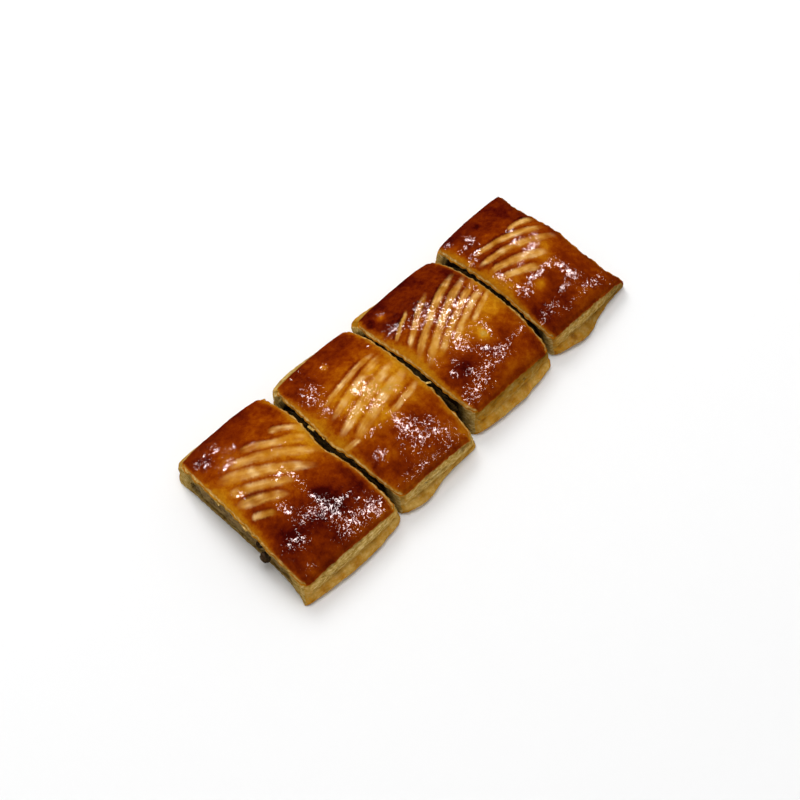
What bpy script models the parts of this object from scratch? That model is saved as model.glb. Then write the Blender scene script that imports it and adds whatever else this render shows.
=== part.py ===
# Sausage roll: one glazed puff pastry roll, cut across into four pieces that still lie in their row.
# Sizes are in millimetres, with X along the row, Y across it and Z up, and are scaled to metres at
# the end. Every piece is a pastry case around a bar of filling that runs from cut to cut.

import math

import bmesh
import bpy
from mathutils import Vector

MM = 0.001

# Layers of a piece, from the table up
BOTTOM_LAYER = 2.4          # pastry under the filling
TOP_LAYER = 2.8             # crust over the filling
SEAM = 9.0                  # width of closed pastry along each long side
CLEARANCE = 0.35            # free space between the filling and its case, all round
FILLING_RECESS = 0.9        # the filling stops this far inside each cut
SEAM_HEIGHT = 2.6           # height of the filling where it runs out into the seam
SEAM_LEVEL = 0.35           # place of that thin edge between the two layers, 0 at the bottom
LENS_POWER = 6              # how full the filling stays towards its edges

HALF_LENGTH = 25.0          # of a piece, on the average
HALF_WIDTH = 40.0
MIDDLE = (1.5, -0.92)       # of the row's own box, which becomes the origin

# Form that all the pieces share
PUFF = 1.6                  # extra rise of the crust halfway between its cuts
SIDE_ARCH = 1.6             # rise of the crust's long edges halfway between the corners
LIP_LEVEL = 0.20            # height of the folded lower lip, as a share of the wall
LIP_SPREAD = 0.17
BAND_LEVEL = 0.66           # height of the puffed layers above the lip
BAND_SPREAD = 0.20
FOOT_ROUND = 0.5            # how far the wall tucks in where it meets the table
FOOT_LEVEL = 0.12
BOW_POWER = 4               # how abruptly a bowed edge turns in to its corners
CORNER_ROUND = 3.0          # radius of the upright edges at a piece's four corners
SIDE_ROUND = 1.5            # radius of the crust's long edges

# Divisions of the faceted solids
CASE_CUTS = (10, 16, 8)     # along, across, up
EDGE_ROWS = (0.0, 1.2, 3.0)     # the outer rows of a case lie at these distances from its edges
FILLING_CUTS = (6, 10, 3)
TUNNEL_REACH = 1.4          # the cutter's length, in lengths of the piece

# The corners of each crust, (x, y, z), go round from back left: near back, far back, far front,
# near front. "foot" moves the same corners of the base outwards or inwards from them.
# "crown" is the rise of the dome at the near and far cut. "bow" is how far the crust bulges over
# each cut, "base_bow" the same for the base, and "base_skew" its lean to one side. "notch" is a
# bite out of the far cut, and "tongue" the bump on the near cut that faces it. "side_bow" is the
# bulge of the crust's long edges, front and back. "lip" and "band" are the bulges of the long
# walls below them: size, place along the piece and spread. "rim" is the radius of the crust's
# edge at the near and far cut.
PIECES = (
    {
        "corners": ((-106.6, 41.4, 13.2), (-57.5, 41.6, 12.8), (-56.2, -42.9, 12.6), (-109.9, -40.5, 13.2)),
        "foot": ((-2.2, 2.2), (0.0, 0.6), (2.6, -1.1), (-3.0, -2.8)),
        "crown": (8.2, 8.4), "bow": (1.6, 0.6), "base_bow": (-2.4, 0.0), "base_skew": 0.9,
        "notch": 3.4, "tongue": 0.0, "side_bow": (0.0, 1.2),
        "front_lip": (3.9, 0.1, 1.0), "back_lip": (2.0, -0.5, 0.8),
        "front_band": (1.6, 0.1, 0.9), "back_band": (2.6, -0.9, 0.7),
        "rim": (1.2, 1.2),
    },
    {
        "corners": ((-51.3, 38.3, 13.7), (-3.6, 39.5, 12.5), (-6.2, -42.7, 11.6), (-51.1, -41.2, 14.0)),
        "foot": ((-2.4, 2.0), (0.4, 0.4), (3.2, -1.4), (-1.4, -1.9)),
        "crown": (8.4, 8.2), "bow": (3.4, 1.8), "base_bow": (0.6, 0.2), "base_skew": 0.0,
        "notch": 0.0, "tongue": 2.2, "side_bow": (0.0, 1.0),
        "front_lip": (3.8, -0.5, 0.5), "back_lip": (2.4, -0.3, 0.8),
        "front_band": (1.8, 0.1, 0.8), "back_band": (3.6, -0.5, 0.9),
        "rim": (1.2, 1.2),
    },
    {
        "corners": ((1.1, 37.7, 12.8), (53.5, 38.5, 12.5), (53.0, -37.6, 12.1), (2.5, -37.0, 15.0)),
        "foot": ((-2.8, 2.2), (0.4, 0.4), (2.4, -1.7), (-2.6, -2.6)),
        "crown": (8.4, 8.4), "bow": (3.5, 2.1), "base_bow": (0.4, 0.2), "base_skew": 0.0,
        "notch": 0.0, "tongue": 0.0, "side_bow": (0.0, 1.2),
        "front_lip": (4.4, 0.0, 1.0), "back_lip": (2.0, -0.5, 0.7),
        "front_band": (1.6, 0.1, 0.8), "back_band": (3.8, -0.9, 0.6),
        "rim": (1.2, 1.2),
    },
    {
        "corners": ((59.6, 39.7, 13.9), (109.5, 41.1, 12.8), (113.3, -35.7, 8.2), (57.8, -35.8, 14.3)),
        "foot": ((-2.6, 0.8), (-0.6, -0.4), (2.6, -0.4), (1.2, -2.4)),
        "crown": (8.2, 8.2), "bow": (2.0, -5.4), "base_bow": (0.6, -4.4), "base_skew": 0.0,
        "notch": -0.8, "tongue": 0.0, "side_bow": (0.0, 0.8),
        "front_lip": (5.3, -0.35, 0.55), "back_lip": (1.6, 0.0, 0.8),
        "front_band": (1.8, 0.1, 0.8), "back_band": (1.0, -0.4, 0.6),
        "rim": (1.2, 3.0),
    },
)
NOTCH_PLACE = 0.0           # across the roll, from -1 at the front to 1 at the back
NOTCH_SPREAD = 0.30

CRUST_LOOK = ("glazed_crust", (0.30, 0.075, 0.012, 1.0), 0.22)
FILLING_LOOK = ("baked_filling", (0.075, 0.05, 0.022, 1.0), 0.75)


def blend(near, far, share):
    return near + (far - near) * share


def across_corners(corners, a, b):
    # Point of a four-cornered sheet at a (-1 near, 1 far) and b (-1 front, 1 back).
    near_back, far_back, far_front, near_front = (Vector(corner) for corner in corners)
    along = (a + 1) / 2
    return blend(blend(near_front, far_front, along), blend(near_back, far_back, along), (b + 1) / 2)


def bell(distance, spread):
    return math.exp(-(distance / spread) ** 2)


def plump(b):
    return 1 - min(abs(b), 1.0) ** BOW_POWER


def crust_height(piece, a, b):
    corner_height = across_corners(piece["corners"], a, b).z
    side = max(0.0, 1 - a * a)
    dome = max(0.0, 1 - b * b)
    crown = blend(*piece["crown"], (a + 1) / 2)
    return corner_height + SIDE_ARCH * side + (crown + PUFF * side) * dome


def plan(piece, a, b, level):
    # Place in the plan at a share of the wall's height, 0 at the base and 1 at the crust.
    rim = across_corners(piece["corners"], a, b)
    foot = across_corners([(x, y, 0.0) for x, y in piece["foot"]], a, b)
    place = rim + foot * (1 - level)
    along = (a + 1) / 2
    base_lean = 1 - piece["base_skew"] * b
    near_bow = blend(piece["base_bow"][0] * base_lean, piece["bow"][0], level)
    far_bow = blend(piece["base_bow"][1], piece["bow"][1], level)
    bump = bell(b - NOTCH_PLACE, NOTCH_SPREAD)
    place.x -= (1 - along) * (near_bow * plump(b) + piece["tongue"] * bump)
    place.x += along * (far_bow * plump(b) - piece["notch"] * bump)
    front_bow, back_bow = piece["side_bow"]
    place.y += level * plump(a) * (back_bow * max(b, 0.0) + front_bow * min(b, 0.0))
    return place - Vector((*MIDDLE, 0.0))


def wall_bulge(piece, a, b, level):
    side = "back" if b > 0 else "front"
    ends = 1 - abs(a) ** 6
    lip_size, lip_place, lip_spread = piece[side + "_lip"]
    band_size, band_place, band_spread = piece[side + "_band"]
    lip = lip_size * bell(a - lip_place, lip_spread) * (0.5 + 0.5 * ends)
    band = band_size * bell(a - band_place, band_spread)
    foot = FOOT_ROUND * max(0.0, 1 - level / FOOT_LEVEL)
    return lip * bell(level - LIP_LEVEL, LIP_SPREAD) + band * bell(level - BAND_LEVEL, BAND_SPREAD) - foot


def rounded_edge(first, second, radius):
    # Moves of a point at these distances inside two faces when the edge between them is rounded:
    # a square of that size turns into a quarter of a disc.
    p, q = radius - first, radius - second
    if p <= 0 or q <= 0:
        return 0.0, 0.0
    reach = max(p, q)
    turn = math.pi / 4 * min(p, q) / reach
    short, long = reach * math.sin(turn), reach * math.cos(turn)
    return (short - p, long - q) if p <= q else (long - p, short - q)


def case_point(piece, a, b, c):
    place = plan(piece, a, b, c)
    height = crust_height(piece, a, b)
    bulge = wall_bulge(piece, a, b, c) * (1 - c ** 8)
    place.y += bulge * b ** 3
    place.z = c * height
    from_cut, from_side = (1 - abs(a)) * HALF_LENGTH, (1 - abs(b)) * HALF_WIDTH
    from_top = height - place.z
    rim = piece["rim"][0 if a < 0 else 1]
    corner = rounded_edge(from_cut, from_side, CORNER_ROUND)
    cut_edge = rounded_edge(from_cut, from_top, rim)
    side_edge = rounded_edge(from_side, from_top, SIDE_ROUND)
    place.x += (corner[0] + cut_edge[0]) * math.copysign(1, a)
    place.y += (corner[1] + side_edge[0]) * math.copysign(1, b)
    place.z += cut_edge[1] + side_edge[1]
    return place


def filling_point(piece, a, b, c, gap):
    # The filling's section is a lens between the two layers, thin where it meets the seams.
    inner = 1 - (SEAM + gap) / HALF_WIDTH
    b_case = b * inner
    height = crust_height(piece, max(-1, min(1, a)), b_case)
    low = BOTTOM_LAYER + gap
    full = height - TOP_LAYER - gap - low
    lens = SEAM_HEIGHT - 2 * gap
    lens += (full - lens) * math.sqrt(max(0.0, 1 - b ** LENS_POWER))
    z = low + (full - lens) * SEAM_LEVEL + lens * c
    place = plan(piece, a, b_case, z / height)
    place.z = z
    return place


def edge_row(share, rows, reach):
    # Share of the way from the middle to the edge, with the outer rows drawn close to the edge.
    row = round(abs(share) * rows)
    if rows - row < len(EDGE_ROWS):
        distance = EDGE_ROWS[rows - row]
    else:
        distance = blend(reach, EDGE_ROWS[-1], row / (rows - len(EDGE_ROWS) + 1))
    return math.copysign(1 - distance / reach, share)


def drawn_case_point(piece, a, b, c):
    along, across, up = CASE_CUTS
    a = edge_row(a, along // 2, HALF_LENGTH)
    b = edge_row(b, across // 2, HALF_WIDTH)
    if round(c * up) == up - 1:
        c = 1 - EDGE_ROWS[1] / crust_height(piece, a, b)
    return case_point(piece, a, b, c)


def divided_block(cuts):
    # A cube from -1 to 1 along and across and from 0 to 1 upwards, divided along each direction.
    block = bmesh.new()
    bmesh.ops.create_cube(block, size=2.0)
    for axis, count in enumerate(cuts):
        edges = [
            edge for edge in block.edges
            if abs(edge.verts[0].co[axis] - edge.verts[1].co[axis]) > 1e-6
        ]
        bmesh.ops.subdivide_edges(block, edges=edges, cuts=count - 1, use_grid_fill=True)
    for vert in block.verts:
        vert.co.z = (vert.co.z + 1) / 2
    return block


def finished_object(name, block, collection, material=None):
    mesh = bpy.data.meshes.new(name)
    bmesh.ops.recalc_face_normals(block, faces=block.faces)
    block.to_mesh(mesh)
    block.free()
    mesh.shade_smooth()
    mesh.set_sharp_from_angle(angle=math.radians(40))
    if material:
        mesh.materials.append(material)
    new_object = bpy.data.objects.new(name, mesh)
    collection.objects.link(new_object)
    return new_object


def shaped_object(name, cuts, shape, collection, material=None):
    block = divided_block(cuts)
    for vert in block.verts:
        vert.co = shape(*vert.co) * MM
    return finished_object(name, block, collection, material)


def surface(look):
    name, colour, roughness = look
    material = bpy.data.materials.new(name)
    material.use_nodes = True
    shader = material.node_tree.nodes["Principled BSDF"]
    shader.inputs["Base Color"].default_value = colour
    shader.inputs["Roughness"].default_value = roughness
    shader.inputs["Metallic"].default_value = 0.0
    return material


def new_collection(name):
    collection = bpy.data.collections.new(name)
    bpy.context.scene.collection.children.link(collection)
    return collection


def build_piece(number, piece, parts, cutters, crust, filling):
    end = 1 - FILLING_RECESS / HALF_LENGTH
    case = shaped_object(
        f"pastry_{number}", CASE_CUTS, lambda a, b, c: drawn_case_point(piece, a, b, c), parts, crust)
    tunnel = shaped_object(
        f"tunnel_{number}", FILLING_CUTS,
        lambda a, b, c: filling_point(piece, a * TUNNEL_REACH, b, c, 0.0), cutters)
    tunnel.hide_render = True
    tunnel.display_type = "WIRE"
    cut = case.modifiers.new("tunnel", "BOOLEAN")
    cut.operation = "DIFFERENCE"
    cut.object = tunnel
    shaped_object(
        f"filling_{number}", FILLING_CUTS,
        lambda a, b, c: filling_point(piece, a * end, b, c, CLEARANCE), parts, filling)


def main():
    for old in list(bpy.data.objects):
        bpy.data.objects.remove(old)
    parts = new_collection("sausage_roll")
    cutters = new_collection("cutters")
    crust = surface(CRUST_LOOK)
    filling = surface(FILLING_LOOK)
    for number, piece in enumerate(PIECES, start=1):
        build_piece(number, piece, parts, cutters, crust, filling)


main()
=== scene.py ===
import math

import bmesh
import bpy
import numpy as np
from mathutils import Matrix, Vector, noise


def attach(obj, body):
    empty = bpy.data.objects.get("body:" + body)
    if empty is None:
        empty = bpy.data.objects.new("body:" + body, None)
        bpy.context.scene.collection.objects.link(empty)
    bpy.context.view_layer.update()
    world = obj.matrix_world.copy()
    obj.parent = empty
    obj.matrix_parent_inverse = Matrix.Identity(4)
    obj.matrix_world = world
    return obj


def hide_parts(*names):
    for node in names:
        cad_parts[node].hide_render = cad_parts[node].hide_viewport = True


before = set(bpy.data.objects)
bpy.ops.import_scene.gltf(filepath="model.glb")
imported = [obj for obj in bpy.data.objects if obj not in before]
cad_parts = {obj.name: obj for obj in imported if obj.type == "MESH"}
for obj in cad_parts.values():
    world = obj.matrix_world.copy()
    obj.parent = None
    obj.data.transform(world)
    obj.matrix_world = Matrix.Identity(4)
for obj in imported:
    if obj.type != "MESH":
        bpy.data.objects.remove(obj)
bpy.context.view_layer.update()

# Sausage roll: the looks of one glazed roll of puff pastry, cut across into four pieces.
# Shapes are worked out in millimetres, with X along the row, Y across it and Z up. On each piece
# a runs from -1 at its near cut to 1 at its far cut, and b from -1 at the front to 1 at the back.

mm = 0.001

# The form that all the pieces share, in mm or as a share of the height, the same as in the solids.
form = {
    "bottomLayer": 2.4, "topLayer": 2.8,        # pastry under and over the filling
    "seam": 9.0, "clearance": 0.35,             # closed pastry at each long side, air round the filling
    "recess": 0.9,                              # the filling stops this far inside a cut
    "seamHeight": 2.6, "seamLevel": 0.35, "lensPower": 6,
    "halfLength": 25.0, "halfWidth": 40.0, "middle": (1.5, -0.92),
    "puff": 1.6, "sideArch": 1.6,
    "lipLevel": 0.20, "lipSpread": 0.17, "bandLevel": 0.66, "bandSpread": 0.20,
    "footRound": 0.5, "footLevel": 0.12, "bowPower": 4,
    "cornerRound": 3.0, "sideRound": 1.5,
    "notchPlace": 0.0, "notchSpread": 0.30,
}
# How finely the blocks are divided. "edge", "low" and "high" bound the mouth of the tunnel.
cuts = {"along": 120, "across": 190, "up": 44, "low": 8, "high": 30, "edge": 74, "tunnel": 16}
fillingCuts = {"along": 60, "across": 130, "up": 30}

# "scores" are strokes of a fork: start (a, b), end (a, b), bow in mm towards the back, half width in
# mm. "scored" is how pale and how wide they are, "swell" how their width goes from start to end, and
# "lineGap" and "lineTone" place a dark line behind each of them. "bake" is how dark the glaze is
# across the piece, as (b, tone). The other spots are (a, b), their reach along and across in mm, and
# a strength: "tones" change the bake, "hills" are heights in mm, and "glints" are where the glaze is
# wrinkled and so sparkles. "stains" darken the front wall, at (a, level). "olive" is how far the
# glaze darkens to a greenish brown at the cuts and at the front, and "rimWidth" the golden edge at
# the near and far cut. "wall" says how raw the puffed band is, how baked the lip below it and how
# dark the near and far cut.
pieceOne = {
    "name": "1", "seed": 11.0,
    "corners": ((-106.6, 41.4, 13.2), (-57.5, 41.6, 12.8), (-56.2, -42.9, 12.6), (-109.9, -40.5, 13.2)),
    "foot": ((-2.2, 2.2), (0.0, 0.6), (2.6, -1.1), (-3.0, -2.8)),
    "crown": (8.2, 8.4), "bow": (1.6, 0.6), "baseBow": (-2.4, 0.0), "baseSkew": 0.9,
    "rim": (1.2, 1.2),
    "notch": 3.4, "tongue": 0.0, "sideBow": (0.0, 1.2),
    "frontLip": (3.9, 0.1, 1.0), "backLip": (2.0, -0.5, 0.8),
    "frontBand": (1.6, 0.1, 0.9), "backBand": (2.6, -0.9, 0.7),
    "scores": (
        ((0.45, 0.52), (0.97, 0.31), 0.5, 1.0), ((-0.15, 0.56), (1.0, 0.17), -0.6, 1.3),
        ((-0.48, 0.50), (0.97, -0.04), 0.8, 1.4), ((-0.80, 0.45), (0.66, -0.16), 1.0, 1.7),
        ((-0.84, 0.24), (0.20, -0.13), 0.8, 1.5), ((-0.86, 0.08), (-0.08, -0.21), 0.8, 1.4),
        ((-0.82, -0.12), (-0.46, -0.27), 0.3, 1.1),
    ),
    "scored": (0.95, 1.45), "swell": (1.0, 1.0), "lineGap": 0.5, "lineTone": 0.11,
    "olive": (0.12, 0.14), "rimWidth": (2.2, 1.8),
    "wall": {"band": 0.90, "lip": 0.25, "cuts": (0.5, 1.0)},
    "bake": ((-1.0, 0.84), (-0.75, 0.85), (-0.58, 0.95), (-0.42, 0.86), (-0.22, 0.70), (-0.05, 0.55),
             (0.3, 0.50), (0.5, 0.60), (0.75, 0.74), (0.95, 0.82)),
    "tones": (
        ((0.24, -0.44), (2.6, 4.2), 0.26), ((0.75, 0.22), (7, 9), -0.15), ((-0.70, 0.77), (4, 4.5), 0.12),
        ((0.10, -0.60), (18, 4), 0.03), ((-0.50, 0.0), (8, 5), 0.16), ((0.60, 0.52), (9, 5), 0.13),
        ((-0.60, 0.08), (3, 3), 0.12), ((-0.35, -0.08), (8, 3), 0.12), ((-0.92, -0.42), (2.5, 4), -0.25),
        ((0.60, -0.95), (10, 3), -0.10),
    ),
    "hills": (((-0.70, 0.77), (3.2, 3.6), 0.8), ((-0.63, 0.82), (1.2, 1.0), -0.5)),
    "glints": (
        ((-0.70, 0.77), (4.0, 4.5), 0.8), ((-0.38, 0.80), (2.0, 3.5), 0.7),
        ((-0.22, 0.66), (3.0, 2.0), 0.8),
        ((-0.47, 0.53), (4.5, 2.5), 0.8), ((0.07, 0.51), (2.0, 2.0), 0.6),
        ((-0.67, 0.14), (3.0, 3.0), 0.7),
        ((0.04, 0.03), (3.0, 1.8), 1.0), ((-0.33, -0.30), (2.2, 5.0), 0.9),
        ((0.20, -0.12), (1.4, 4.5), 0.9),
        ((0.12, -0.40), (1.4, 6.0), 0.9), ((-0.16, -0.51), (5.0, 3.0), 0.9),
        ((0.16, -0.62), (4.0, 6.0), 1.0),
        ((0.42, -0.59), (5.0, 1.6), 0.9), ((0.68, -0.84), (7.0, 5.0), 0.9),
        ((0.20, -0.87), (6.0, 4.0), 0.8),
        ((-0.55, -0.64), (4.0, 4.0), 0.5), ((-0.73, -0.60), (3.0, 4.0), 0.4),
        ((-0.70, -0.90), (5.0, 2.0), 0.3),
        ((0.35, 0.30), (5.0, 3.0), 0.3),
    ),
    "stains": (),
}
pieceTwo = {
    "name": "2", "seed": 23.0,
    "corners": ((-51.3, 38.3, 13.7), (-3.6, 39.5, 12.5), (-6.2, -42.7, 11.6), (-51.1, -41.2, 14.0)),
    "foot": ((-2.4, 2.0), (0.4, 0.4), (3.2, -1.4), (-1.4, -1.9)),
    "crown": (8.4, 8.2), "bow": (3.4, 1.8), "baseBow": (0.6, 0.2), "baseSkew": 0.0,
    "rim": (1.2, 1.2),
    "notch": 0.0, "tongue": 2.2, "sideBow": (0.0, 1.0),
    "frontLip": (3.8, -0.5, 0.5), "backLip": (2.4, -0.3, 0.8),
    "frontBand": (1.8, 0.1, 0.8), "backBand": (3.6, -0.5, 0.9),
    "scores": (
        ((-0.62, 0.32), (0.80, 0.46), 0.6, 0.9), ((-0.70, 0.13), (0.90, 0.38), 0.6, 1.2),
        ((-0.80, -0.08), (0.95, 0.22), 0.4, 1.5), ((-0.68, -0.23), (0.95, 0.05), 0.5, 1.6),
        ((-0.98, -0.22), (-0.62, -0.25), 0.0, 0.8), ((0.10, -0.27), (0.92, -0.15), -0.3, 1.0),
    ),
    "scored": (0.90, 1.40), "swell": (0.9, 1.1), "lineGap": 0.8, "lineTone": 0.15,
    "olive": (0.10, 0.18), "rimWidth": (3.0, 2.6),
    "wall": {"band": 0.80, "lip": 0.22, "cuts": (1.0, 1.0)},
    "bake": ((-1.0, 0.78), (-0.75, 0.76), (-0.55, 0.76), (-0.38, 0.68), (-0.22, 0.48), (0.0, 0.36),
             (0.25, 0.38), (0.42, 0.54), (0.58, 0.70), (0.78, 0.78), (0.95, 0.82)),
    "tones": (
        ((-0.39, -0.39), (2.5, 3.2), 0.16), ((-0.04, 0.72), (1.9, 2.2), -0.30),
        ((0.40, 0.08), (8, 5), -0.08),
        ((-0.75, 0.40), (6, 9), 0.12), ((-0.78, 0.02), (6, 9), 0.30), ((0.85, -0.08), (6, 4), 0.20),
        ((-0.64, 0.18), (4, 7), 0.12), ((-0.88, -0.58), (3, 4), 0.18), ((0.38, -0.05), (3, 3), -0.10),
        ((0.85, 0.30), (4, 8), 0.06),
        ((-0.45, -0.62), (5, 3), -0.12), ((0.80, -0.75), (4, 6), -0.08),
    ),
    "hills": (((-0.04, 0.72), (1.8, 2.0), 0.6), ((-0.39, -0.39), (2.2, 2.8), -0.4)),
    "glints": (
        ((-0.60, 0.55), (5.0, 6.5), 0.7), ((-0.66, 0.28), (2.5, 4.0), 0.6),
        ((0.83, 0.57), (1.5, 2.0), 0.5),
        ((-0.02, 0.73), (1.6, 2.0), 0.6), ((0.06, 0.16), (6.0, 5.0), 0.9),
        ((0.02, -0.05), (5.0, 2.6), 1.0),
        ((-0.40, 0.04), (4.0, 3.0), 0.5), ((-0.42, -0.28), (4.5, 1.4), 0.9),
        ((-0.63, -0.53), (3.6, 2.4), 1.0),
        ((0.05, -0.36), (3.0, 5.0), 0.8), ((0.12, -0.52), (6.0, 4.5), 0.7),
        ((0.10, -0.70), (10.0, 4.0), 0.6),
        ((0.45, -0.62), (4.0, 4.0), 0.5), ((0.60, -0.80), (5.0, 4.0), 0.6),
        ((-0.30, -0.90), (12.0, 2.0), 0.5),
        ((0.30, -0.93), (12.0, 2.0), 0.5), ((0.50, -0.13), (3.0, 4.0), 0.6),
        ((-0.50, 0.94), (4.0, 1.5), 0.4),
    ),
    "stains": (((-0.1, 0.72), (12, 2), 0.35), ((0.75, 0.80), (8, 3), 0.35)),
}
pieceThree = {
    "name": "3", "seed": 37.0,
    "corners": ((1.1, 37.7, 12.8), (53.5, 38.5, 12.5), (53.0, -37.6, 12.1), (2.5, -37.0, 15.0)),
    "foot": ((-2.8, 2.2), (0.4, 0.4), (2.4, -1.7), (-2.6, -2.6)),
    "crown": (8.4, 8.4), "bow": (3.5, 2.1), "baseBow": (0.4, 0.2), "baseSkew": 0.0,
    "rim": (1.2, 1.2),
    "notch": 0.0, "tongue": 0.0, "sideBow": (0.0, 1.2),
    "frontLip": (4.4, 0.0, 1.0), "backLip": (2.0, -0.5, 0.7),
    "frontBand": (1.6, 0.1, 0.8), "backBand": (3.8, -0.9, 0.6),
    "scores": (
        ((-0.86, 0.33), (-0.26, 0.56), 0.2, 0.8), ((-0.82, 0.12), (0.22, 0.58), 0.6, 1.1),
        ((-0.88, -0.06), (0.90, 0.57), 1.8, 1.4), ((-0.86, -0.22), (0.98, 0.43), 1.8, 1.5),
        ((-0.60, -0.23), (1.0, 0.29), 1.0, 1.4), ((-0.25, -0.22), (1.0, 0.16), 0.5, 1.3),
        ((0.25, -0.18), (1.0, 0.05), 0.2, 1.0),
    ),
    "scored": (1.05, 1.30), "swell": (0.9, 1.0), "lineGap": 0.5, "lineTone": 0.11,
    "olive": (0.18, 0.16), "rimWidth": (3.4, 1.4),
    "wall": {"band": 0.10, "lip": 0.27, "cuts": (1.0, 1.0)},
    "bake": ((-1.0, 0.80), (-0.75, 0.74), (-0.58, 0.77), (-0.42, 0.70), (-0.22, 0.55), (0.0, 0.54),
             (0.22, 0.68), (0.42, 0.82), (0.60, 0.84), (0.75, 0.87), (0.95, 0.91)),
    "tones": (
        ((0.20, -0.38), (3.0, 4.2), -0.38), ((0.18, -0.86), (3, 3), -0.13),
        ((-0.55, -0.48), (9, 5), 0.20),
        ((0.05, -0.54), (2.6, 2.2), 0.14), ((-0.63, 0.76), (2.0, 2.6), -0.32),
        ((0.85, 0.0), (5, 14), -0.13),
        ((0.40, -0.36), (9, 5), -0.10), ((0.55, 0.27), (6, 3), 0.12),
        ((0.90, -0.10), (2.5, 5), 0.12), ((-0.10, -0.42), (3, 3), 0.12),
        ((0.62, -0.42), (4, 3), -0.12), ((0.85, 0.85), (5, 5), -0.08),
    ),
    "hills": (
        ((-0.63, 0.76), (1.8, 2.4), 0.6), ((0.20, -0.38), (3.0, 3.8), 0.5), ((0.05, -0.54), (2.2, 2.0), -0.5),
    ),
    "glints": (
        ((-0.58, 0.80), (1.8, 2.6), 0.8), ((-0.70, 0.50), (5.0, 3.5), 0.5),
        ((-0.60, 0.40), (4.0, 4.0), 0.2),
        ((-0.35, 0.30), (4.0, 4.0), 0.7), ((-0.05, 0.30), (3.6, 8.0), 0.6),
        ((-0.20, -0.10), (4.0, 7.0), 0.6), ((0.10, 0.10), (6.0, 5.0), 0.7),
        ((0.35, 0.20), (5.0, 6.0), 0.4), ((0.50, 0.05), (3.0, 4.0), 0.6),
        ((-0.10, 0.48), (4.0, 2.0), 0.5),
        ((0.80, 0.20), (2.0, 6.0), 0.5), ((-0.17, -0.28), (4.0, 5.0), 1.0),
        ((-0.72, -0.20), (1.6, 4.0), 0.6),
        ((-0.50, -0.40), (1.6, 3.5), 0.7), ((-0.66, -0.49), (2.0, 2.0), 0.9),
        ((-0.45, -0.62), (2.0, 2.6), 0.7),
        ((0.04, -0.52), (3.2, 3.0), 0.9), ((0.33, -0.38), (1.4, 5.0), 0.8),
        ((0.20, -0.64), (4.0, 2.6), 0.8),
        ((-0.10, -0.70), (9.0, 2.6), 0.8), ((-0.55, -0.80), (7.0, 4.0), 0.8),
        ((-0.82, -0.84), (3.0, 3.0), 0.8),
        ((0.60, -0.62), (5.5, 1.8), 0.6), ((0.88, -0.58), (3.5, 1.4), 0.5),
        ((0.30, -0.22), (5.0, 3.0), 0.5),
    ),
    "stains": (((0.0, 0.85), (60, 12), 0.38), ((0.8, 0.9), (12, 9), 0.25)),
}
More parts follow.
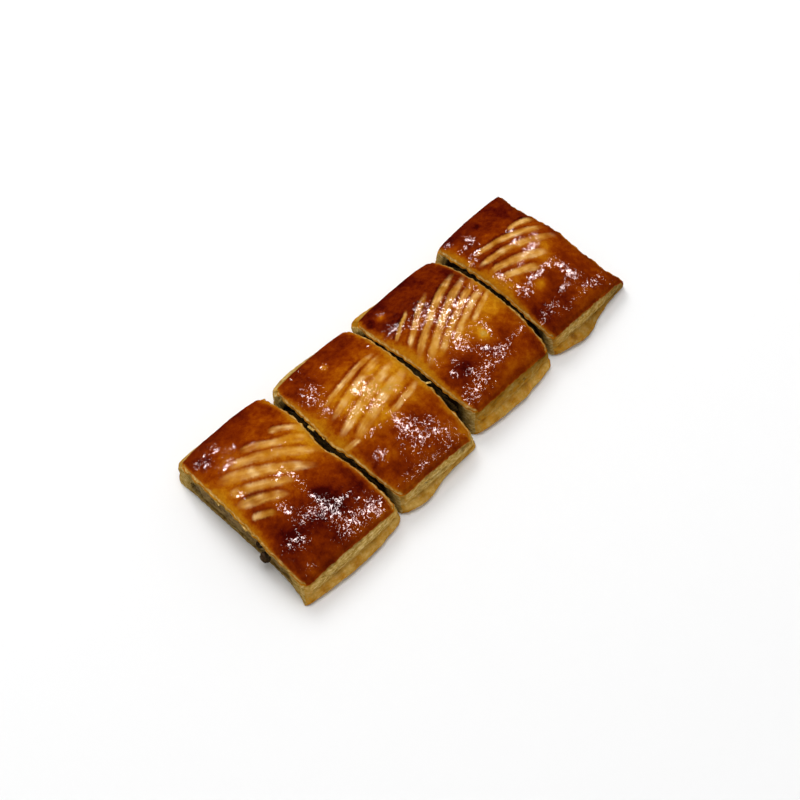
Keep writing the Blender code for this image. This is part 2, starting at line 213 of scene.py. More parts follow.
pieceFour = {
    "name": "4", "seed": 53.0,
    "corners": ((59.6, 39.7, 13.9), (109.5, 41.1, 12.8), (113.3, -35.7, 8.2), (57.8, -35.8, 14.3)),
    "foot": ((-2.6, 0.8), (-0.6, -0.4), (2.6, -0.4), (1.2, -2.4)),
    "crown": (8.2, 8.2), "bow": (2.0, -5.4), "baseBow": (0.6, -4.4), "baseSkew": 0.0,
    "rim": (1.2, 3.0),
    "notch": -0.8, "tongue": 0.0, "sideBow": (0.0, 0.8),
    "frontLip": (5.3, -0.35, 0.55), "backLip": (1.6, 0.0, 0.8),
    "frontBand": (1.8, 0.1, 0.8), "backBand": (1.0, -0.4, 0.6),
    "scores": (
        ((0.26, 0.42), (0.93, 0.33), 1.6, 1.2), ((-0.74, 0.46), (0.90, 0.14), 2.2, 1.3),
        ((-0.84, 0.30), (0.86, -0.05), 2.4, 1.4), ((-0.82, 0.15), (0.40, -0.16), 1.2, 1.6),
        ((-0.84, -0.01), (0.02, -0.27), 1.0, 1.5),
    ),
    "scored": (1.1, 1.45), "swell": (0.7, 1.15), "lineGap": 0.8, "lineTone": 0.14,
    "olive": (0.30, 0.22), "rimWidth": (4.2, 0.01),
    "wall": {"band": 0.75, "lip": 0.30, "cuts": (1.0, 0.6)},
    "bake": ((-1.0, 0.84), (-0.75, 0.82), (-0.55, 0.78), (-0.40, 0.74), (-0.22, 0.68), (0.0, 0.66),
             (0.25, 0.74), (0.45, 0.80), (0.60, 0.82), (0.95, 0.88)),
    "tones": (
        ((-0.75, -0.68), (8, 5), 0.12), ((0.30, -0.80), (9, 6), -0.12),
        ((-0.30, -0.43), (4, 3), -0.25), ((0.20, -0.14), (5, 4), -0.25),
        ((-0.05, 0.80), (1.7, 2.2), 0.14), ((-0.05, 0.72), (3.5, 2), -0.08),
        ((-0.90, 0.80), (4, 6), -0.14),
        ((0.35, 0.30), (9, 6), -0.15), ((-0.40, -0.10), (8, 5), -0.10), ((0.92, 0.0), (2.5, 40), 0.12),
        ((0.25, 0.12), (6, 4), -0.12),
        ((0.42, -0.08), (3, 3), -0.15),
    ),
    "hills": (((-0.05, 0.81), (1.5, 1.9), -0.6), ((0.38, -0.50), (4, 5), 0.5)),
    "glints": (
        ((-0.78, 0.90), (2.6, 3.0), 0.5), ((-0.70, 0.66), (4.0, 1.6), 0.8),
        ((-0.42, 0.68), (2.0, 4.0), 1.0),
        ((-0.60, 0.48), (4.0, 1.6), 0.8), ((-0.80, 0.42), (3.0, 2.0), 0.7),
        ((0.12, 0.22), (4.0, 2.5), 0.8),
        ((0.30, 0.38), (3.0, 2.0), 0.6), ((0.50, 0.12), (3.0, 3.0), 0.8), ((0.25, 0.0), (3.0, 2.0), 0.8),
        ((-0.75, 0.0), (3.0, 3.0), 0.9), ((-0.72, -0.25), (2.0, 6.0), 0.7),
        ((-0.62, -0.40), (2.5, 2.5), 0.7),
        ((-0.30, -0.31), (6.0, 2.4), 1.2), ((0.10, -0.30), (4.0, 1.8), 1.2),
        ((0.12, 0.02), (6.0, 2.0), 0.9), ((0.34, -0.44), (3.2, 6.0), 1.3),
        ((0.40, -0.60), (3.6, 3.0), 1.0), ((0.0, -0.64), (4.0, 1.8), 1.0),
        ((-0.35, -0.06), (5.0, 1.6), 0.7),
        ((-0.55, -0.72), (7.0, 2.5), 0.7), ((0.50, -0.80), (8.0, 2.5), 0.8),
        ((-0.85, -0.78), (3.0, 2.0), 0.5),
        ((-0.30, -0.84), (6.0, 2.0), 0.4), ((0.75, -0.92), (3.0, 2.0), 0.4),
    ),
    "stains": (((0.0, 0.5), (80, 80), 0.12), ((0.75, 0.5), (12, 22), 0.50), ((-0.1, 0.3), (9, 6), 0.25)),
}
pieces = (pieceOne, pieceTwo, pieceThree, pieceFour)


def blendOf(near, far, share):
    return near + (far - near) * share


def bell(distance, spread):
    return np.exp(-(distance / spread) ** 2)


def ease(low, high, value):    # smooth step from 0 at low to 1 at high
    share = np.clip((value - low) / (high - low), 0, 1)
    return share * share * (3 - 2 * share)


def plump(b):
    return 1 - np.minimum(np.abs(b), 1.0) ** form["bowPower"]


def noiseField(points, size, seed):    # lumps of about that size in mm, from -1 to 1
    return np.array([noise.noise(point) for point in (points / size + seed).tolist()])


def acrossCorners(corners, a, b):
    nearBack, farBack, farFront, nearFront = (np.array(corner) for corner in corners)
    along, across = ((a + 1) / 2)[:, None], ((b + 1) / 2)[:, None]
    front = blendOf(nearFront, farFront, along)
    return blendOf(front, blendOf(nearBack, farBack, along), across)


def crustHeight(piece, a, b):
    side = np.maximum(0, 1 - a * a)
    dome = np.maximum(0, 1 - b * b)
    crown = blendOf(*piece["crown"], (a + 1) / 2)
    corner = acrossCorners(piece["corners"], a, b)[:, 2]
    return corner + form["sideArch"] * side + (crown + form["puff"] * side) * dome


def planPlace(piece, a, b, level):
    rim = acrossCorners(piece["corners"], a, b)[:, :2]
    foot = acrossCorners(piece["foot"], a, b)
    place = rim + foot * (1 - level)[:, None]
    along = (a + 1) / 2
    baseLean = 1 - piece["baseSkew"] * b
    nearBow = blendOf(piece["baseBow"][0] * baseLean, piece["bow"][0], level)
    farBow = blendOf(piece["baseBow"][1], piece["bow"][1], level)
    bump = bell(b - form["notchPlace"], form["notchSpread"])
    place[:, 0] -= (1 - along) * (nearBow * plump(b) + piece["tongue"] * bump)
    place[:, 0] += along * (farBow * plump(b) - piece["notch"] * bump)
    frontBow, backBow = piece["sideBow"]
    place[:, 1] += level * plump(a) * (backBow * np.maximum(b, 0) + frontBow * np.minimum(b, 0))
    return place - np.array(form["middle"])


def wallBulge(piece, a, b, level):
    back = b > 0
    lip = [np.where(back, x, y) for x, y in zip(piece["backLip"], piece["frontLip"])]
    band = [np.where(back, x, y) for x, y in zip(piece["backBand"], piece["frontBand"])]
    ends = 1 - np.abs(a) ** 6
    lipSize = lip[0] * bell(a - lip[1], lip[2]) * (0.5 + 0.5 * ends)
    bandSize = band[0] * bell(a - band[1], band[2])
    foot = form["footRound"] * np.maximum(0, 1 - level / form["footLevel"])
    return (lipSize * bell(level - form["lipLevel"], form["lipSpread"])
            + bandSize * bell(level - form["bandLevel"], form["bandSpread"]) - foot)


def tunnelLevels(piece, a, b, height, gap=0.0):    # floor and ceiling of the filling's space, in mm
    inner = 1 - (form["seam"] + gap) / form["halfWidth"]
    share = np.clip(np.abs(b) / inner, 0, 1)
    low = form["bottomLayer"] + gap
    full = height - form["topLayer"] - gap - low
    lens = form["seamHeight"] - 2 * gap
    lens = lens + (full - lens) * np.sqrt(np.maximum(0, 1 - share ** form["lensPower"]))
    floor = low + (full - lens) * form["seamLevel"]
    return floor, floor + lens


def crustPlane(a, b):    # a flat map of the crust in mm, for strokes and marks
    return np.stack([a * form["halfLength"], b * form["halfWidth"]], 1)


def strokeField(piece, a, b):    # how much each point lies in a score, and in the dark line beside it
    here = crustPlane(a, b)
    spread = np.column_stack([here, 0 * a])
    wander = noiseField(spread, 7.0, piece["seed"]) + 0.9 * noiseField(spread, 0.9, piece["seed"] + 1)
    pale = np.zeros(len(a))
    beside = np.zeros(len(a))
    for start, end, bow, halfWidth in piece["scores"]:
        first, last = (np.array(spot) * (form["halfLength"], form["halfWidth"]) for spot in (start, end))
        chord = last - first
        length = np.linalg.norm(chord)
        chord = chord / length
        across = np.array([-chord[1], chord[0]])
        if across[1] < 0:
            across = -across
        share = (here - first) @ chord / length
        offset = (here - first) @ across - bow * 4 * share * (1 - share) + 0.45 * wander
        taper = ease(-0.02, 0.14, share) * ease(1.02, 0.76, share)
        width = piece["scored"][1] * halfWidth * (0.6 + 0.4 * taper)
        width = width * blendOf(*piece["swell"], np.clip(share, 0, 1))
        fibres = np.column_stack([share * length / 7, offset / 0.8, 0 * share + length])
        streak = noiseField(fibres, 1.0, piece["seed"] + 2)
        pale = np.maximum(pale, ease(1.40, 0.35, np.abs(offset) / width) * taper * (0.85 + 0.6 * streak))
        beside = np.maximum(beside, bell(offset - width - piece["lineGap"], 0.9) * taper)
    pale = np.clip(pale, 0, 1)
    return pale, beside * (1 - pale)


def spotField(here, spots):    # sum of soft spots on a flat map in mm
    total = np.zeros(len(here))
    for spot, reach, strength in spots:
        away = (here - np.array(spot) * (form["halfLength"], form["halfWidth"])) / reach
        total += strength * np.exp(-(away ** 2).sum(1))
    return total


def glintField(piece, a, b):    # how wrinkled the glaze is, in patches
    here = crustPlane(a, b)
    spread = np.column_stack([here, 0 * a])
    patchy = 0.75 + 0.6 * noiseField(spread, 2.6, piece["seed"] + 41)
    return 1 - np.exp(-np.maximum(spotField(here, piece["glints"]) * patchy, 0))


def cubeBlock(counts):    # a cube from -1 to 1, divided along, across and up
    block = bmesh.new()
    bmesh.ops.create_cube(block, size=2.0)
    for axis, count in enumerate(counts):
        edges = [edge for edge in block.edges
                 if abs(edge.verts[0].co[axis] - edge.verts[1].co[axis]) > 1e-6]
        bmesh.ops.subdivide_edges(block, edges=edges, cuts=count - 1, use_grid_fill=True)
    return block


def caseBlock():    # the same with a tunnel from end to end, still in block coordinates
    block = cubeBlock((cuts["along"], cuts["across"], cuts["up"]))
    half = cuts["across"] / 2
    doomed = []
    for face in block.faces:
        middle = face.calc_center_median()
        row = (middle.z + 1) / 2 * cuts["up"]
        inMouth = abs(middle.y) * half < cuts["edge"] and cuts["low"] < row < cuts["high"]
        if abs(abs(middle.x) - 1) < 1e-6 and inMouth:
            doomed.append(face)
    bmesh.ops.delete(block, geom=doomed, context="FACES")
    mouths = [edge for edge in block.edges if edge.is_boundary]
    walls = bmesh.ops.bridge_loops(block, edges=mouths)["faces"]
    rails = {edge for face in walls for edge in face.edges
             if abs(edge.verts[0].co.x - edge.verts[1].co.x) > 1}
    bmesh.ops.subdivide_edges(block, edges=list(rails), cuts=cuts["tunnel"] - 1, use_grid_fill=True)
    return block


def blockPlaces(block):
    block.verts.ensure_lookup_table()
    places = np.array([vert.co[:] for vert in block.verts])
    return places[:, 0], places[:, 1], (places[:, 2] + 1) / 2


def roundedEdge(first, second, radius):
    # Moves of points at these distances inside two faces when the edge between them is rounded:
    # a square of that size turns into a quarter of a disc.
    p, q = np.maximum(radius - first, 0), np.maximum(radius - second, 0)
    reach = np.maximum(np.maximum(p, q), 1e-9)
    turn = math.pi / 4 * np.minimum(p, q) / reach
    short, long = reach * np.sin(turn), reach * np.cos(turn)
    near, flatter = (p > 0) & (q > 0), p <= q
    first = np.where(near, np.where(flatter, short, long) - p, 0)
    return first, np.where(near, np.where(flatter, long, short) - q, 0)


def caseShape(piece, a, b, c):
    # Warp the block's rows so that the tunnel's floor and ceiling follow the filling's section.
    inner = 1 - form["seam"] / form["halfWidth"]
    edge = cuts["edge"] / (cuts["across"] / 2)
    size = np.abs(b)
    outer = inner + (size - edge) / (1 - edge) * (1 - inner)
    b = np.sign(b) * np.where(size < edge, size / edge * inner, outer)
    smooth = crustHeight(piece, a, b)
    floor, ceiling = tunnelLevels(piece, a, b, smooth)
    low, high = cuts["low"] / cuts["up"], cuts["high"] / cuts["up"]
    outside = ease(inner, 1.0, np.abs(b))
    floor = blendOf(floor, low * smooth, outside)
    ceiling = blendOf(ceiling, high * smooth, outside)

    flat = np.column_stack([planPlace(piece, a, b, np.ones(len(a))), 0 * a])
    seed = piece["seed"]
    pale, beside = strokeField(piece, a, b)
    gloss = glintField(piece, a, b)
    lumps = 0.50 * noiseField(flat, 14.0, seed) + (0.07 + 0.15 * gloss) * noiseField(flat, 4.5, seed + 3)
    wrinkles = (0.02 + 0.14 * gloss) * (1 - 2 * np.abs(noiseField(flat, 2.2, seed + 5)))
    hills = spotField(crustPlane(a, b), piece["hills"])
    relief = lumps + wrinkles + hills - 0.14 * pale - 0.05 * beside
    height = smooth + relief

    z = np.where(c <= low, c / low * floor, floor + (c - low) / (high - low) * (ceiling - floor))
    z = np.where(c >= high, ceiling + (c - high) / (1 - high) * (height - ceiling), z)
    level = np.clip(z / height, 0, 1)
    place = planPlace(piece, a, b, level)
    points = np.column_stack([place, z])

    # long walls: thin leaves of pastry, with pores, and a crease above the folded lip
    leaves = noiseField(points * (0.16, 0.16, 1.0), 0.55, seed + 7)
    pores = ease(0.25, 0.75, noiseField(points * (0.45, 0.45, 1.0), 0.9, seed + 9))
    wave = noiseField(points * (1, 1, 0.3), 7.0, seed + 11)
    fine = noiseField(points, 1.6, seed + 13)
    onWall = np.abs(b) ** 24 * (1 - level ** 30) * ease(0.0, 0.08, level)
    crease = bell(level - 0.41 - 0.03 * wave, 0.045)
    wallMove = wallBulge(piece, a, b, level) * (1 - level ** 8) * np.abs(b) ** 3
    wallMove += onWall * (0.10 * leaves + 0.16 * fine + 0.5 * wave * ease(0.5, 0.25, level)
                          - 0.35 * pores * ease(0.45, 0.6, level) - 0.4 * crease)
    # cut ends: the leaves of the crust and the base show as ridges
    onEnd = np.abs(a) ** 60
    torn = noiseField(points * (1, 1, 0.25), 2.6, seed + 15)
    endMove = onEnd * (0.28 * leaves + 0.25 * fine + 0.40 * wave + 0.75 * torn * ease(0.4, 0.9, level))

    # the upright edges and every edge of the crust are rounded over
    fromCut = (1 - np.abs(a)) * form["halfLength"]
    fromSide = (1 - np.abs(b)) * form["halfWidth"]
    fromTop = height - z
    rim = np.where(a < 0, *piece["rim"]) + 0.3 * wave
    corner = roundedEdge(fromCut, fromSide, form["cornerRound"])
    cutEdge = roundedEdge(fromCut, fromTop, rim)
    sideEdge = roundedEdge(fromSide, fromTop, form["sideRound"])
    x = place[:, 0] + np.sign(a) * (endMove + corner[0] + cutEdge[0])
    y = place[:, 1] + np.sign(b) * (wallMove + corner[1] + sideEdge[0])
    z = z + cutEdge[1] + sideEdge[1]
    z = np.maximum(z, 0)
    traits = {"a": a, "b": b, "level": level, "pale": pale, "beside": beside, "gloss": gloss,
              "fromCut": fromCut, "fromTop": fromTop, "pores": pores, "wave": wave, "fine": fine,
              "crease": crease, "top": c > 1 - 1e-6, "flat": flat, "points": points}
    return np.column_stack([x, y, z]), traits


def crustTones(piece, traits):
    a, b, level, top = traits["a"], traits["b"], traits["level"], traits["top"]
    flat, seed, wall = traits["flat"], piece["seed"], piece["wall"]
    fromTop, fromCut = traits["fromTop"], traits["fromCut"]
    here = crustPlane(a, b)
    mottle = 0.17 * noiseField(flat, 9.0, seed + 21) + 0.08 * noiseField(flat, 2.4, seed + 23)
    ragged = noiseField(flat, 3.0, seed + 25) + 0.5 * noiseField(flat, 1.2, seed + 27)
    bake = np.interp(b, *zip(*piece["bake"])) + mottle + spotField(here, piece["tones"])
    # the dark line beside each score: glaze pooled in its shallow groove, and painted shade of that groove
    bake += piece["lineTone"] * traits["beside"]

    # golden edges at the cuts, with a paler line where the layers show
    uneven = 1.15 + 0.6 * ragged + 0.9 * noiseField(flat, 11.0, seed + 35)
    width = np.where(a < 0, *piece["rimWidth"]) * uneven
    width = width * np.where(a < 0, 0.45 + 0.75 * bell(b - 0.1, 0.5), 1.0)
    rim = ease(1.6, 0.3, fromCut / np.maximum(width, 0.01))
    bake = blendOf(bake, 0.37, 0.8 * rim)
    torn = ease(1.1, 0.3, fromCut + 0.6 * ragged) * (width > 0.1)
    atCuts = ease(0.78, 0.96, np.abs(a)) * piece["olive"][0]
    olive = np.maximum(atCuts, ease(0.78, 0.97, -b) * piece["olive"][1])
    bake -= 0.45 * olive * (1 - rim)

    # the walls: raw layers in a band under the crust, a baked lip below, painted shade on the cut faces in
    # the gaps
    onSide = np.abs(b) > 0.985
    onCut = ~onSide & (np.abs(a) > 0.985)
    blotch = noiseField(traits["points"] * (1, 1, 1.6), 4.5, seed + 29)
    lipTone = wall["lip"] + 0.16 * blotch + 0.10 * traits["fine"]
    below = ease(0.7, 1.8, fromTop + 0.5 * ragged)
    wrapped = (a > 0.9) & (width < 0.1)
    below = np.where(wrapped, ease(3.0, 5.0, fromTop), below)
    bake = np.where(top, bake, blendOf(bake, lipTone, below))
    lip = ease(0.62, 0.36, level + 0.08 * traits["wave"])
    corners = ease(0.6, 1.0, np.abs(a) + 0.1 * blotch)
    band = np.where(onSide, blendOf(wall["band"], 0.22, lip) * (1 - 0.6 * corners), 0.9)
    dough = np.where(top, 0.75 * torn, below * band)
    # cut faces darken below the crust: painted shade where a cut faces the next piece, a smear of filling on
    # the open ends
    gapShadeAndSmear = blendOf(*wall["cuts"], (a + 1) / 2) * ease(0.3, 1.8, fromTop + 0.8 * ragged)
    gapShadeAndSmear *= 1 - 0.75 * ease(0.74, 0.92, np.abs(b) + 0.05 * ragged)
    side = np.column_stack([here[:, 0], level * form["halfWidth"]])
    shade = np.where(onCut, gapShadeAndSmear, np.where(b < 0, spotField(side, piece["stains"]), 0.15) * onSide)
    # painted shade: the pores and the crease above the lip, hollowed in the shape, are darkened too
    shade = shade + 0.35 * traits["pores"] * onSide * ease(0.45, 0.6, level)
    shade = shade + 0.12 * traits["crease"] * onSide
    shade = shade + 0.30 * bell(fromTop - 1.2, 0.7) * onSide + 0.24 * ease(0.0, 0.6, blotch) * onSide
    shade = np.where(top, np.maximum(0.20 * rim * (1 - torn), olive), shade * below)
    # painted shade: faces that light does not reach, the tunnel round the filling and the underside, are
    # darkened to 0.6
    inside = (np.abs(a) < 0.98) & ~top & ~onSide
    return {"bake": bake, "pale": piece["scored"][0] * traits["pale"] * top, "dough": dough,
            "shade": np.where(inside, 0.6, np.clip(shade, 0, 1)), "gloss": traits["gloss"] * top}


def meshObject(name, block, points, tones, material, node):
    for vert, point in zip(block.verts, points.tolist()):
        vert.co = point
    bmesh.ops.recalc_face_normals(block, faces=block.faces)
    mesh = bpy.data.meshes.new(name)
    block.to_mesh(mesh)
    block.free()
    for trait, values in tones.items():
        attribute = mesh.attributes.new(trait, "FLOAT", "POINT")
        attribute.data.foreach_set("value", np.asarray(values, np.float32))
    mesh.shade_smooth()
    mesh.set_sharp_from_angle(angle=math.radians(70))
    mesh.materials.append(material)
    piece = bpy.data.objects.new(name, mesh)
    bpy.context.scene.collection.objects.link(piece)
    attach(piece, "root")
    if node:
        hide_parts(node)


def fillingShape(piece, a, b, c):
    gap = form["clearance"]
    inner = 1 - (form["seam"] + gap) / form["halfWidth"]
    end = 1 - form["recess"] / form["halfLength"]
    a = np.sign(a) * (1 - (1 - np.abs(a)) ** 1.4)      # finer rows towards the cuts
    aCase, bCase = a * end, b * inner
    height = crustHeight(piece, aCase, bCase)
    floor, ceiling = tunnelLevels(piece, aCase, bCase, height, gap)
    z = blendOf(floor, ceiling, c)
    place = planPlace(piece, aCase, bCase, z / height)
    points = np.column_stack([place, z])
    seed = piece["seed"]
    grains = noiseField(points, 1.3, seed + 31)
    lumps = noiseField(points, 3.2, seed + 33)
    holes = ease(0.2, 0.7, noiseField(points, 2.2, seed + 35))
    onEnd = np.abs(a) ** 30
    move = onEnd * (0.30 * grains + 0.5 * lumps - 0.9 * holes)
    points[:, 0] += np.sign(a) * move
    shrink = 0.5 * onEnd * ease(0.7, 1.0, c)           # it has drawn away from the crust at the cuts
    points[:, 2] -= shrink
    return points, {"grain": 0.5 + 0.5 * lumps, "hollowShadeAndDarkMince": holes}


def rgb(code):    # a six-digit colour code as the linear values that a shader takes
    parts = [int(code[i:i + 2], 16) / 255 for i in (1, 3, 5)]
    return tuple(v / 12.92 if v <= 0.04045 else ((v + 0.055) / 1.055) ** 2.4 for v in parts) + (1.0,)


def newMaterial(name):
    material = bpy.data.materials.new(name)
    material.use_nodes = True
    return material, material.node_tree.nodes, material.node_tree.links


def addNode(tree, kind, settings=None, **inputs):
    node = tree.nodes.new(kind)
    for name, value in (settings or {}).items():
        setattr(node, name, value)
    for name, value in inputs.items():
        numbered = name[0] == "i" and name[1:].isdigit()
        socket = node.inputs[int(name[1:]) if numbered else name.replace("_", " ")]
        if isinstance(value, bpy.types.NodeSocket):
            tree.links.new(value, socket)
        else:
            socket.default_value = value
    return node


def attributeOf(tree, name):
    return addNode(tree, "ShaderNodeAttribute", {"attribute_name": name}).outputs["Fac"]


def calc(tree, operation, first, second=0.0, clamp=False):
    settings = {"operation": operation, "use_clamp": clamp}
    return addNode(tree, "ShaderNodeMath", settings, i0=first, i1=second).outputs[0]


def rampOf(tree, fac, stops):
    node = addNode(tree, "ShaderNodeValToRGB", Fac=fac)
    ramp = node.color_ramp
    while len(ramp.elements) < len(stops):
        ramp.elements.new(0.5)
    for element, (place, code) in zip(ramp.elements, stops):
        element.position = place
        element.color = rgb(code)
    return node.outputs["Color"]


def mixOf(tree, fac, first, second, mode="MIX"):
    node = addNode(tree, "ShaderNodeMix", {"data_type": "RGBA", "blend_type": mode})
    for socket, value in zip((node.inputs["Factor"], node.inputs[6], node.inputs[7]), (fac, first, second)):
        if isinstance(value, bpy.types.NodeSocket):
            tree.links.new(value, socket)
        else:
            socket.default_value = value
    return node.outputs[2]


def objectNoise(tree, size, detail=2.0, stretch=(1, 1, 1), roughness=0.5, distortion=0.0):
    where = addNode(tree, "ShaderNodeTexCoord").outputs["Object"]
    mapped = addNode(tree, "ShaderNodeMapping", Vector=where, Scale=stretch).outputs[0]
    grain = addNode(tree, "ShaderNodeTexNoise", Vector=mapped, Scale=1 / (size * mm), Detail=detail,
                    Roughness=roughness, Distortion=distortion)
    return grain.outputs["Fac"]


# The glaze: sizes of its patterns in mm, how strongly each counts, and where the curls sparkle.
glaze = {
    "curlSize": 1.25, "curlFloor": 0.695, "curlContrast": 14.0, "curlLift": 0.27, "patchFade": 9.0,
    "mottleSize": 2.2, "speckSize": 0.9, "smearSize": 6.0, "fibreSize": 1.1,
    "mottle": 0.26, "speck": 0.20, "roughness": 0.35, "dulled": 0.4, "coatRoughness": 0.06,
}


def makeCrust():
    material, nodes, links = newMaterial("glazedPastry")
    tree = material.node_tree
    shader = nodes["Principled BSDF"]
    bake, pale, dough, shade, gloss = (
        attributeOf(tree, name) for name in ("bake", "pale", "dough", "shade", "gloss"))
    mottle = objectNoise(tree, glaze["mottleSize"], 4.0, roughness=0.6)
    speck = objectNoise(tree, glaze["speckSize"], 3.0, roughness=0.6)
    tone = bake
    for grain, strength in ((mottle, glaze["mottle"]), (speck, glaze["speck"])):
        tone = calc(tree, "ADD", tone, calc(tree, "MULTIPLY", calc(tree, "SUBTRACT", grain, 0.5), strength))
    baked = rampOf(tree, tone, ((0.0, "#d8c08a"), (0.12, "#c9a050"), (0.24, "#b3822f"), (0.34, "#bf7f12"),
                                (0.44, "#ac6509"), (0.55, "#964a04"), (0.66, "#843502"), (0.76, "#702402"),
                                (0.86, "#5c1803"), (0.94, "#4a0c04"), (1.0, "#360603")))
    smear = objectNoise(tree, glaze["smearSize"], 1.0)
    scraped = rampOf(tree, smear, ((0.30, "#bd8020"), (0.5, "#cd9642"), (0.72, "#e2b878")))
    patchy = calc(tree, "ADD", calc(tree, "MULTIPLY", smear, 1.3), 0.15)
    rubbed = calc(tree, "MULTIPLY", pale, patchy, clamp=True)
    baked = mixOf(tree, rubbed, baked, scraped)
    fibre = objectNoise(tree, glaze["fibreSize"], 4.0, stretch=(0.5, 0.5, 1.2), roughness=0.65)
    raw = rampOf(tree, fibre, ((0.28, "#735320"), (0.42, "#ab8840"), (0.56, "#cfae66"), (0.75, "#e8d29c")))
    colour = mixOf(tree, dough, baked, raw)
    colour = mixOf(tree, shade, colour, rgb("#1e1005"))
    links.new(colour, shader.inputs["Base Color"])
    dull = calc(tree, "MAXIMUM", dough, calc(tree, "MULTIPLY", pale, 0.6))
    roughness = calc(tree, "ADD", glaze["roughness"], calc(tree, "MULTIPLY", dull, glaze["dulled"]))
    links.new(roughness, shader.inputs["Roughness"])
    shader.inputs["Specular IOR Level"].default_value = 0.0
    wet = calc(tree, "MULTIPLY", calc(tree, "SUBTRACT", 1.0, dough, clamp=True),
               calc(tree, "SUBTRACT", 1.0, shade, clamp=True))
    curls = objectNoise(tree, glaze["curlSize"], 4.0, roughness=0.66, distortion=1.2)
    lift = calc(tree, "MULTIPLY", calc(tree, "POWER", gloss, 0.7), glaze["curlLift"])
    level = calc(tree, "ADD", curls, lift)
    sparkle = calc(tree, "SUBTRACT", level, glaze["curlFloor"])
    sparkle = calc(tree, "MULTIPLY", sparkle, glaze["curlContrast"], clamp=True)
    sparkle = calc(tree, "MULTIPLY", sparkle, calc(tree, "MULTIPLY", gloss, glaze["patchFade"], clamp=True))
    shine = calc(tree, "MULTIPLY", wet, sparkle)
    links.new(shine, shader.inputs["Coat Weight"])
    shader.inputs["Coat Roughness"].default_value = glaze["coatRoughness"]
    wrinkle = addNode(tree, "ShaderNodeBump", Height=curls, Strength=0.5, Distance=0.15 * mm)
    swell = addNode(tree, "ShaderNodeBump", Height=mottle, Strength=0.25, Distance=0.2 * mm)
    grit = addNode(tree, "ShaderNodeBump", Height=fibre, Strength=dough, Distance=0.3 * mm,
                   Normal=swell.outputs[0])
    links.new(grit.outputs[0], shader.inputs["Normal"])
    links.new(wrinkle.outputs[0], shader.inputs["Coat Normal"])
    return material


def makeFilling():
    material, nodes, links = newMaterial("bakedFilling")
    tree = material.node_tree
    shader = nodes["Principled BSDF"]
    grain, hollowShadeAndDarkMince = attributeOf(tree, "grain"), attributeOf(tree, "hollowShadeAndDarkMince")
    crumb = objectNoise(tree, 1.0, 4.0, roughness=0.65)
    tone = calc(tree, "ADD", calc(tree, "MULTIPLY", crumb, 0.6), calc(tree, "MULTIPLY", grain, 0.4))
    colour = rampOf(tree, tone, ((0.3, "#3c2a12"), (0.45, "#6e5630"), (0.58, "#8c7040"), (0.75, "#ab8f58")))
    # painted shade in the hollows pressed into the filling's cut ends; on the loose lumps this dark is the
    # mince's own colour
    colour = mixOf(tree, calc(tree, "MULTIPLY", hollowShadeAndDarkMince, 0.6), colour, rgb("#241506"))
    links.new(colour, shader.inputs["Base Color"])
    shader.inputs["Roughness"].default_value = 0.55
    shader.inputs["Specular IOR Level"].default_value = 0.02
    bump = addNode(tree, "ShaderNodeBump", Height=crumb, Strength=0.7, Distance=0.4 * mm)
    links.new(bump.outputs[0], shader.inputs["Normal"])
    return material


def buildPieces():
    crust, filling = makeCrust(), makeFilling()
    for piece in pieces:
        block = caseBlock()
        points, traits = caseShape(piece, *blockPlaces(block))
        meshObject("pastry" + piece["name"], block, points * mm, crustTones(piece, traits), crust,
                   "pastry_" + piece["name"])
        block = cubeBlock((fillingCuts["along"], fillingCuts["across"], fillingCuts["up"]))
        points, tones = fillingShape(piece, *blockPlaces(block))
        meshObject("filling" + piece["name"], block, points * mm, tones, filling,
                   "filling_" + piece["name"])
        print("piece", piece["name"], "built")
    addLooseBits(crust, filling)


def looseMesh(name, block, material, tones):
    points = np.array([vert.co[:] for vert in block.verts])
    even = {key: np.full(len(points), value) for key, value in tones.items()}
    meshObject(name, block, points * mm, even, material, None)


def addLump(name, place, size, seed, material):    # a bit of mince that sticks out of a cut
    block = bmesh.new()
    bmesh.ops.create_icosphere(block, subdivisions=4, radius=1.0)
    for vert in block.verts:
        swell = 1 + 0.22 * noise.noise(vert.co * 1.6 + Vector((seed, 0, 0))) + 0.08 * noise.noise(vert.co * 5)
        vert.co = Vector([centre + reach * swell * part for centre, reach, part in zip(place, size, vert.co)])
    # full dark here is the lump's own dark mince colour
    looseMesh(name, block, material, {"grain": 0.05, "hollowShadeAndDarkMince": 1.0})


def addFlake(name, place, turn, size, lift, seed, material):    # a torn leaf of pastry, curling up
    block = bmesh.new()
    bmesh.ops.create_grid(block, x_segments=14, y_segments=8, size=1.0)
    length, width = size
    for vert in block.verts:
        x, y = vert.co.x, vert.co.y
        edge = 1 + 0.35 * noise.noise(Vector((x * 2, y * 2, seed)))
        curl = lift * (x + 1) ** 2 / 4 + 0.25 * noise.noise(Vector((x, y * 1.5, seed + 5)))
        vert.co = Vector((x * length / 2 * edge, y * width / 2 * edge, curl))
    bmesh.ops.solidify(block, geom=block.faces[:], thickness=0.2)
    turned = Matrix.Rotation(math.radians(turn), 3, "Z")
    bmesh.ops.rotate(block, verts=block.verts[:], cent=(0, 0, 0), matrix=turned)
    bmesh.ops.translate(block, verts=block.verts[:], vec=place)
    tones = {"bake": 0.15, "pale": 0.0, "dough": 0.7, "shade": 0.0, "gloss": 0.0}
    looseMesh(name, block, material, tones)


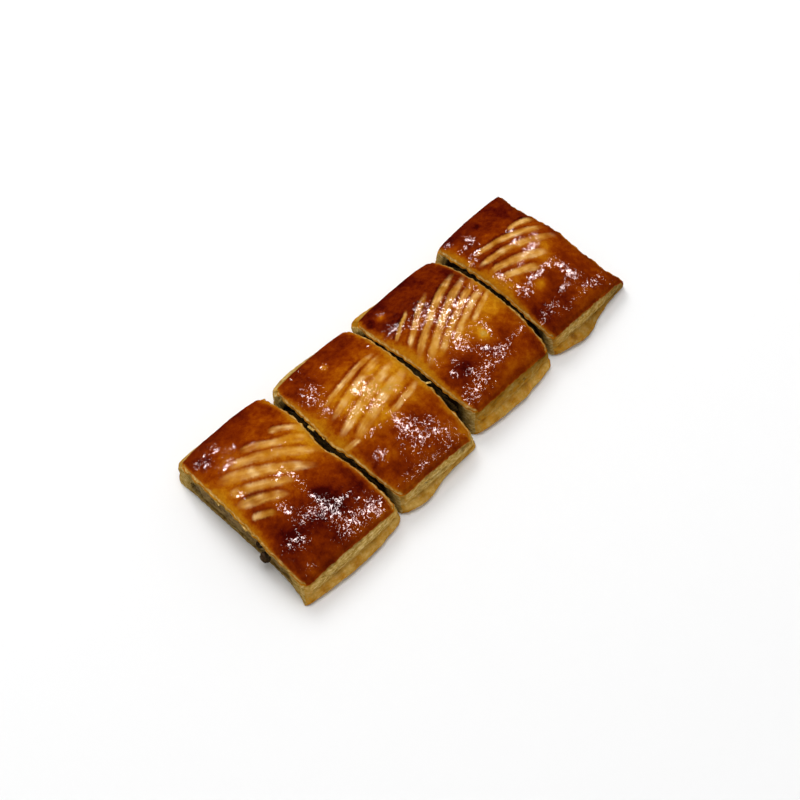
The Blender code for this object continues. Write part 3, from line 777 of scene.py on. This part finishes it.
def addLooseBits(crust, filling):
    # lumps of mince: place and half sizes in mm
    lumps = (
        ((-111.9, -15.9, 9.0), (2.2, 2.6, 2.2)), ((-110.4, -10.6, 11.0), (1.1, 1.8, 1.2)),
        ((-4.6, -7.9, 14.5), (1.4, 1.8, 1.4)), ((-5.0, -16.5, 14.0), (1.2, 2.2, 1.2)),
    )
    for number, (place, size) in enumerate(lumps, start=1):
        addLump("mince" + str(number), place, size, 3.7 * number, filling)
    # flakes: place in mm, turn in degrees, length and width, and rise of the far end
    flakes = (
        ((-110.9, 14.0, 18.6), 80, (3.0, 0.9), 0.2), ((-111.6, -4.0, 20.0), 80, (3.4, 1.0), 0.2),
        ((-57.9, 10.0, 20.6), 100, (3.4, 1.2), 0.5), ((-57.6, 3.0, 21.0), 75, (2.6, 1.0), 0.5),
        ((-4.0, -11.0, 19.6), 150, (2.4, 1.0), 0.2),
    )
    for number, (place, turn, size, lift) in enumerate(flakes, start=1):
        addFlake("flake" + str(number), place, turn, size, lift, 5.3 * number, crust)
    print("loose bits built")


def buildStage():
    bpy.ops.mesh.primitive_plane_add(size=studio["floor"], location=(0, 0, studio["floorLevel"]))
    floor = bpy.context.object
    floor.name = "floor"
    material, nodes = newMaterial("paleFloor")[:2]
    shader = nodes["Principled BSDF"]
    shader.inputs["Base Color"].default_value = studio["floorColour"]
    shader.inputs["Roughness"].default_value = studio["floorRoughness"]
    shader.inputs["Specular IOR Level"].default_value = 0.0
    floor.data.materials.append(material)

    world = bpy.data.worlds.new("studio")
    bpy.context.scene.world = world
    world.use_nodes = True
    background = world.node_tree.nodes["Background"]
    background.inputs["Color"].default_value = (1, 1, 1, 1)
    background.inputs["Strength"].default_value = studio["world"]
    world.cycles_visibility.glossy = False

    for name, place, size, power in studio["soft"]:
        addLight(name, place, size, power).visible_glossy = False
    for name, place, size, power in studio["panels"]:    # these only show in the glaze
        panel = addLight(name, place, size, power)
        panel.visible_diffuse = False
        panel.data.color = studio["panelTint"]

    camera = bpy.data.cameras.new("camera")
    camera.lens = studio["lens"]
    camera.sensor_width = studio["sensor"]
    viewer = bpy.data.objects.new("camera", camera)
    bpy.context.scene.collection.objects.link(viewer)
    viewer.location = Vector(studio["camera"]) * mm
    aim(viewer, Vector(studio["target"]) * mm)
    bpy.context.scene.camera = viewer
    bpy.context.scene.view_settings.view_transform = "Standard"


def aim(thing, target):
    thing.rotation_euler = (target - thing.location).to_track_quat("-Z", "Y").to_euler()


def addLight(name, place, size, power):
    lamp = bpy.data.lights.new(name, "AREA")
    lamp.energy = power
    lamp.shape = "RECTANGLE"
    lamp.size, lamp.size_y = size
    light = bpy.data.objects.new(name, lamp)
    bpy.context.scene.collection.objects.link(light)
    light.location = place
    aim(light, Vector(studio["lit"]))
    return light


# Soft light from above and from behind, and panels whose reflections are the glints. Lamps have a
# place and a size in metres, and a power in watts; the camera's place and its target are in mm.
studio = {
    "floor": 8.0, "floorLevel": -0.0003, "floorColour": (0.86, 0.86, 0.86, 1), "floorRoughness": 0.9,
    "world": 0.45, "lit": (0, 0, 0.01),
    "soft": (("above", (0.0, 0.0, 2.0), (1.0, 1.0), 16.5), ("behind", (0.40, 1.22, 1.53), (0.9, 0.9), 19.5)),
    "panels": (
        ("panel", (0.36, 0.15, 1.3), (2.4, 2.4), 640.0), ("backPanel", (0.9, 1.7, 0.85), (3.2, 1.5), 560.0),
    ),
    "panelTint": (1.0, 0.83, 0.82),
    "lens": 58.8, "sensor": 36.0, "camera": (-244.7, -220.36, 520.6), "target": (-10.8, 0.34, 0.0),
}
buildStage()
buildPieces()
